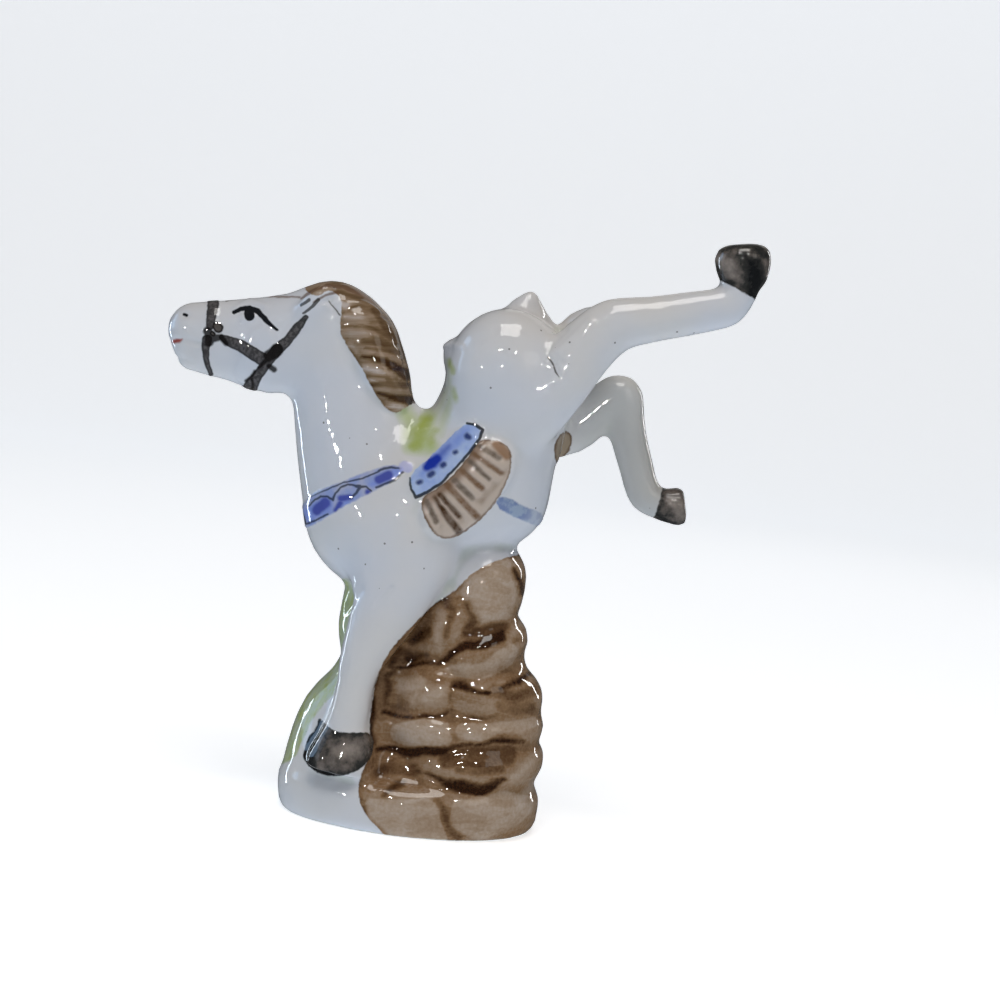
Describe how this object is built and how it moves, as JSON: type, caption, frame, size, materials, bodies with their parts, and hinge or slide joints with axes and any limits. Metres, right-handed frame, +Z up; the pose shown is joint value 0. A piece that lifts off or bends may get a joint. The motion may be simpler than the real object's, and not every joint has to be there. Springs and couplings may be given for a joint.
{
  "type": "porcelain horse figurine",
  "caption": "Glazed porcelain horse that kicks up its hind legs, with bridle, breast collar and fringed saddle cloth, on a brown rock and low oval base.",
  "frame": {"origin": "on the flat underside, 2 mm from the middle of the base towards the rump", "axes": "+Z up, -X towards the muzzle, -Y towards the flank that the picture shows"},
  "size_m": [0.1222, 0.0376, 0.1281],
  "materials": {
    "painted_porcelain": "clear gloss glaze over white body, brown rock and hand painted trim"
  },
  "bodies": {
    "root": {"kicking_horse": "painted_porcelain"}
  },
  "joints": []
}
